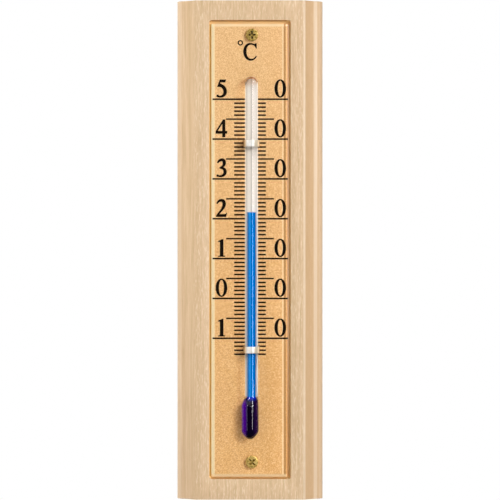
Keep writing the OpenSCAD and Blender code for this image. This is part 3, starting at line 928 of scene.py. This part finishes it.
def make_enamel():
    """White band behind the bore, spun about the stem's axis"""
    bpy.ops.object.select_all(action="DESELECT")
    middle = (stem_x + enamel_r, stem_y, (enamel_low + enamel_high) / 2)
    bpy.ops.mesh.primitive_plane_add(size=1, location=middle, rotation=(math.pi / 2, 0, 0))
    band = name_new_piece("enamel_band")
    edit(band)
    widen((enamel_thickness, 1, enamel_high - enamel_low), middle)
    spin_on(enamel_step * enamel_right - 90, (stem_x, stem_y), 1)
    pick("VERT", lambda v: near(v.co.y, stem_y))
    bpy.ops.mesh.delete(type="VERT")
    bpy.ops.mesh.select_all(action="SELECT")
    steps = enamel_right + enamel_left
    spin_on(-enamel_step * steps, (stem_x, stem_y), steps)
    bpy.ops.mesh.select_all(action="SELECT")
    bpy.ops.mesh.remove_doubles(threshold=0.0005 * mm)
    round_band_top()
    face_outward()
    close()
    smooth(band, 40)
    return band


def round_band_top():
    """Lowers the band's upper edge more and more to both sides of its middle"""
    side_drop = 1.3 * mm
    for i in range(1, enamel_left + 1):
        sine = math.sin(math.radians(enamel_step * i))
        pick("VERT", lambda v: near(v.co.z, enamel_high) and near(
            abs(v.co.x - stem_x), math.dist(v.co.xy, (stem_x, stem_y)) * sine
        ))
        slide(z=-side_drop * (i / enamel_right) ** 3)


def make_bulb_liquid():
    """The dyed liquid in the bulb, up to the bore"""
    rings = vessel_rings(tube_tip + glass_wall, cavity_r, cavity_top_r, cavity_top, growth=wetting)
    rings += [(stem_x, stem_y, cavity_top + 0.3 * mm, bore_r + wetting)]
    liquid = new_round("bulb_liquid_dye", rings, pole=False)
    smooth(liquid, 50)
    return liquid


def make_liquid_thread():
    """The column below its moving top, with rings only at its ends, so that it stretches cleanly"""
    radius = bore_r + wetting
    rings = [(stem_x, stem_y, thread_bottom, radius), (stem_x, stem_y, top_bottom, radius)]
    thread = new_round("liquid_thread_dye", rings, pole=False)
    smooth(thread, 50)
    return thread


def make_column_top():
    """The moving end of the column, with the hollow of its meniscus"""
    radius = bore_r + wetting
    rings = [(stem_x, stem_y, top_bottom, radius), (stem_x, stem_y, reading_z, radius)]
    hollow = arc_points((radius, reading_z), (pole_r, reading_z - 0.2 * mm), 0.05 * mm, 6)
    rings += [(stem_x, stem_y, z, r) for r, z in hollow]
    top = new_round("column_top_dye", rings)
    smooth(top, 50)
    return top


# Clips

def make_clip(name, z):
    """Strip bent over the stem, through the plate, with a tab folded out behind it at each side"""
    start = (stem_x - tab_end, plate_back + strap_thickness / 2, z)
    corner = strap_out + strap_bend
    corner_y = plate_back - strap_bend
    bpy.ops.object.select_all(action="DESELECT")
    bpy.ops.mesh.primitive_plane_add(size=1, location=start, rotation=(0, math.pi / 2, 0))
    clip = name_new_piece(name)
    edit(clip)
    widen((1, strap_thickness, strap_w), start)
    push(x=tab_end - corner)
    spin_on(90, (stem_x - corner, corner_y), 5)
    push(y=stem_y - corner_y)
    spin_on(-180, (stem_x, stem_y), 40)
    push(y=corner_y - stem_y)
    spin_on(90, (stem_x + corner, corner_y), 5)
    push(x=tab_end - corner)
    bpy.ops.mesh.select_all(action="SELECT")
    bpy.ops.mesh.remove_doubles(threshold=0.0005 * mm)
    face_outward()
    close()
    soften(clip, 0.05 * mm, 2, 60)
    smooth(clip, 40)
    return clip


# Screws

def make_screws():
    """Domed cross-recess screw, modelled once and copied to the lower hole with its cross turned"""
    profile = screw_tip() + screw_head()
    rings = [(screw_x, plate_front + depth, upper_screw_z, radius) for depth, radius in profile]
    screw = new_round("upper_screw_brass", rings, along="Y")
    for turned in (False, True):
        cut_away(screw, cross_arm(turned))
    soften(screw, 0.03 * mm, 2, 50)
    smooth(screw, 40)

    lower = copy_of(screw, "lower_screw_brass")
    edit(lower)
    bpy.ops.transform.rotate(
        value=math.radians(lower_screw_turn),
        orient_axis="Y",
        center_override=(screw_x, plate_front, upper_screw_z),
    )
    slide(z=lower_screw_z - upper_screw_z)
    close()
    return screw, lower


def screw_tip():
    """Depths behind the plate's front and radii, from the screw's point along its thread to the head"""
    neck = 1.1 * mm
    profile = [(8 * mm, 0.03 * mm), (7.9 * mm, 0.1 * mm), (6.6 * mm, core_r)]
    for turn in range(thread_turns, 0, -1):
        root = neck + turn * thread_pitch
        for share, radius in ((0.25, core_r), (0.45, thread_r), (0.55, thread_r), (0.75, core_r)):
            profile.append((root - share * thread_pitch, radius))
    return profile + [(neck, core_r), (0.9 * mm, thread_r), (0, thread_r)]


def screw_head():
    """The head's depths and radii, below zero in front of the plate: a wall, a shoulder and a low dome"""
    shoulder = (1.13 * mm, 1.55 * mm)
    dome = arc_points((head_wall, head_r), shoulder, 0.09 * mm, 6)
    dome += arc_points(shoulder, (head_h, pole_r), 0.03 * mm, 5)
    head = [(0, head_r - 0.1 * mm), (-0.05 * mm, head_r), (-head_wall, head_r)]
    return head + [(-height, radius) for height, radius in dome]


def cross_arm(turned):
    """One bar of the cross recess, drawn in towards its foot"""
    x, z = (cross_half_w, cross_half_l) if turned else (cross_half_l, cross_half_w)
    mouth = plate_front - 1.6 * mm
    foot = plate_front - cross_foot
    low = (screw_x - x, mouth, upper_screw_z - z)
    high = (screw_x + x, foot, upper_screw_z + z)
    arm = new_block("cross_cutter", low, high)
    edit(arm)
    pick("VERT", lambda v: near(v.co.y, foot))
    widen((0.42, 1, 0.6), (screw_x, foot, upper_screw_z))
    close()
    return arm


# Putting the object together

gold = plate_finish()
ink = ink_finish()
azure = column_finish()
brass = screw_finish()
strap = strap_finish()

settle(make_backboard(), wood_finish(), "backboard")
settle(make_scale_plate(), gold, "scale_plate")

tube = make_glass_tube(glass_finish(), bore_finish())
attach(tube, "thermometer")
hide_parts("glass_tube")

settle(make_enamel(), enamel_finish(), "enamel_strip")
settle(make_bulb_liquid(), bulb_finish(), "bulb_liquid")
settle(make_column_top(), azure, "column_top", body="column")

thread = make_liquid_thread()
paint(thread, azure)
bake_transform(thread)
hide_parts("liquid_thread")

for node, height in clip_heights.items():
    settle(make_clip(node + "_strap", height), strap, node)

for piece, node in zip(make_screws(), ("upper_screw", "lower_screw")):
    settle(piece, brass, node)

printed = ("ten_degree_lines", "five_degree_lines", "degree_lines")
printed += ("left_numerals", "right_numerals", "unit_symbol")
for node in printed:
    paint(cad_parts[node], ink)


# Floor, lights and camera

aim = Vector((0, board_face, -57 * mm))
floor_z = -0.184
camera_distance = 0.8
camera_lens = 186.8


def make_floor():
    """Plain pale floor under the hanging object, white further off, with the object's shadow near it"""
    bpy.ops.object.select_all(action="DESELECT")
    bpy.ops.mesh.primitive_plane_add(size=16, location=(0, 7.4, floor_z))
    floor = name_new_piece("floor")
    pale = Finish("pale_floor")
    pale.set(base_color=linear(240, 240, 240), roughness=0.8, specular_ior_level=0.1)
    distance = pale.add("ShaderNodeVectorMath", operation="LENGTH")
    pale.feed(distance.inputs[0], pale.place)
    far = pale.range(distance.outputs["Value"], 0.3, 0.5, 0.45, 1.0)
    front = pale.range(pale.y, 0.5, 0.2, 0, 0.97)
    rays = pale.add("ShaderNodeLightPath").outputs
    straight = pale.math("MINIMUM", pale.math("ADD", rays["Is Camera Ray"], rays["Is Transmission Ray"]), 1.0)
    mirrored = pale.both(rays["Is Glossy Ray"], pale.rest(straight))
    first = pale.rest(pale.math("MINIMUM", rays["Diffuse Depth"], 1.0))
    share = pale.both(pale.math("ADD", pale.both(straight, far), mirrored), first)
    white = pale.add("ShaderNodeEmission")
    pale.feed(white.inputs["Strength"], pale.rest(pale.both(mirrored, front)))
    blend = pale.add("ShaderNodeMixShader")
    pale.feed(blend.inputs[0], share)
    pale.feed(blend.inputs[1], pale.shader.outputs[0])
    pale.feed(blend.inputs[2], white.outputs[0])
    pale.feed(pale.output.inputs["Surface"], blend.outputs[0])
    paint(floor, pale.material)


def make_world():
    """White to the camera and through the glass. What lights the object is a dim warm room, nearly dark on
    the camera's side. What it mirrors is pale above, below and behind, with a card at the left."""
    world = bpy.data.worlds.new("studio")
    bpy.context.scene.world = world
    world.use_nodes = True
    studio = Nodes(world.node_tree)
    background = studio.tree.nodes["Background"]
    rays = studio.add("ShaderNodeLightPath").outputs
    direction = studio.add("ShaderNodeTexCoord").outputs["Generated"]

    def towards(azimuth):
        """How nearly a ray goes towards an azimuth: 1 is straight there. Azimuth 0 is behind the camera"""
        node = studio.add("ShaderNodeVectorMath", operation="DOT_PRODUCT")
        studio.feed(node.inputs[0], direction)
        angle = math.radians(azimuth)
        node.inputs[1].default_value = (math.sin(angle), -math.cos(angle), 0)
        return node.outputs["Value"]

    level = studio.range(studio.math("ABSOLUTE", studio.split(direction)["Z"]), 0.5, 0.75, 1, 0)
    dark = studio.both(studio.range(towards(40), 0.15, 0.3), level)
    room = studio.range(dark, 0, 1, 0.2, 0.02)
    above = studio.range(level, 0, 1, 0.75, 0.02)
    card = studio.range(towards(-58), 0.9, 0.95, 0, 0.67)
    behind = studio.range(towards(180), 0.6, 0.75, 0, 0.8)
    mirrored = studio.math("MAXIMUM", studio.math("MAXIMUM", above, card), behind)
    seen = studio.math("ADD", rays["Is Camera Ray"], rays["Is Transmission Ray"])
    first = studio.rest(studio.math("MINIMUM", rays["Diffuse Depth"], 1.0))
    white = studio.both(studio.math("MINIMUM", seen, 1.0), first)
    glossy = rays["Is Glossy Ray"]
    dim = studio.math("ADD", studio.both(room, studio.rest(glossy)), studio.both(mirrored, glossy))
    strength = studio.math("ADD", white, studio.both(dim, studio.rest(white)))
    studio.feed(background.inputs["Strength"], strength)
    untinted = studio.math("MAXIMUM", white, glossy)
    tint = studio.add("ShaderNodeCombineColor")
    tint.inputs["Red"].default_value = 1
    studio.feed(tint.inputs["Green"], studio.range(untinted, 0, 1, 0.84, 1))
    studio.feed(tint.inputs["Blue"], studio.range(untinted, 0, 1, 0.68, 1))
    studio.feed(background.inputs["Color"], tint.outputs[0])


def make_lamp(name, azimuth, elevation, distance, width, height, brightness, base=None):
    """Softbox that faces the object. Azimuth 0 is behind the camera, and above zero is to the right.
    Brightness is what each point of its face sends out, and base sets the height of its lower edge."""
    turn, lift = math.radians(azimuth), math.radians(elevation)
    way = Vector((math.sin(turn) * math.cos(lift), -math.cos(turn) * math.cos(lift), math.sin(lift)))
    place = aim + way * distance
    target = aim.copy()
    if base is not None:
        place.z = base + height / 2
        target.z = place.z
    light = bpy.data.lights.new(name, "AREA")
    light.shape = "RECTANGLE"
    light.size = width
    light.size_y = height
    light.energy = brightness * math.pi * width * height
    lamp = bpy.data.objects.new(name, light)
    lamp.location = place
    lamp.rotation_euler = (target - place).to_track_quat("-Z", "Y").to_euler()
    lamp.visible_transmission = False
    bpy.context.collection.objects.link(lamp)
    return lamp


def make_camera():
    """Camera straight in front of the board, at the distance that gives the photo's perspective"""
    camera_data = bpy.data.cameras.new("camera")
    camera_data.sensor_width = 36
    camera_data.lens = camera_lens
    camera = bpy.data.objects.new("camera", camera_data)
    camera.location = (0, board_face - camera_distance, aim.z)
    camera.rotation_euler = (math.pi / 2, 0, 0)
    bpy.context.collection.objects.link(camera)
    bpy.context.scene.camera = camera


make_floor()
make_world()
make_lamp("key_lamp", 38, 19, 1.1, 0.24, 0.32, 31.5)
make_lamp("low_card", 31, 0, 1.1, 0.25, 0.035, 5, base=floor_z - 0.004)
make_lamp("right_panel", 21, 0, 1.1, 0.3, 0.5, 3, base=floor_z + 0.016)
make_lamp("left_panel", -19, 0, 1.1, 0.34, 0.5, 0.3, base=floor_z + 0.016)
make_lamp("left_lamp", -98, 18, 1.2, 0.7, 0.6, 9.5).visible_glossy = False
make_lamp("left_spot", -42, 40, 1.2, 0.16, 0.16, 18)
make_lamp("right_spot", 28, 42, 1.2, 0.14, 0.24, 17)
make_camera()
bpy.context.scene.view_settings.view_transform = "Standard"
